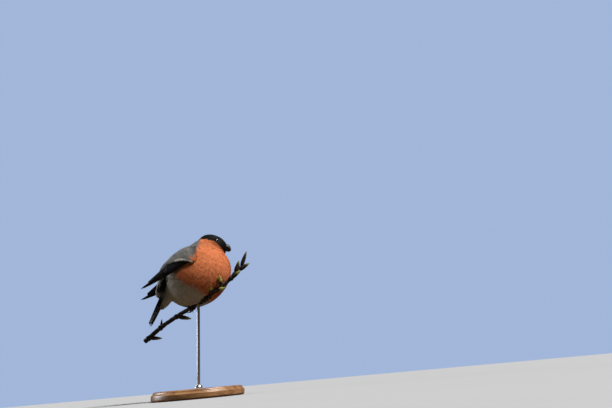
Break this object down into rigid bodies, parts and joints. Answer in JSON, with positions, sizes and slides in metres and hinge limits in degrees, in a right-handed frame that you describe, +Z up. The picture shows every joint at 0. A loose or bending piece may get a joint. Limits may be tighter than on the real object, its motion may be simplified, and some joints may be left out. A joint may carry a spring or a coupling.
{
  "type": "bullfinch",
  "caption": "Life-size male bullfinch, fluffed up and perched on a short cut length of budding twig, held by one upright rod on a flat round wooden base",
  "frame": {"origin": "Centre of the underside of the round base, where it rests on the table", "axes": "+Z up, +X the way the bird faces, +Y its left side"},
  "size_m": [0.1164, 0.092, 0.1742],
  "materials": {
    "black_plumage": "soft with a faint sheen",
    "orange_plumage": "soft",
    "grey_plumage": "soft",
    "wing_black": "satin",
    "black_horn": "satin",
    "dark_eye": "glossy",
    "leg_brown": "scaly",
    "bark": "rough",
    "base_wood": "satin lacquer",
    "rod_steel": "brushed"
  },
  "bodies": {
    "root": {"head": "black_plumage", "neck": "orange_plumage", "trunk": "orange_plumage", "tail": "wing_black", "bill_upper": "black_horn", "bill_lower": "black_horn", "perch": "bark", "stand_base": "base_wood", "stand_rod": "rod_steel", "stand_collar": "rod_steel", "wing_left": "wing_black", "wing_right": "wing_black", "eye_left": "dark_eye", "eye_right": "dark_eye", "leg_left": "grey_plumage", "leg_right": "grey_plumage", "foot_left": "leg_brown", "foot_right": "leg_brown"}
  },
  "joints": []
}
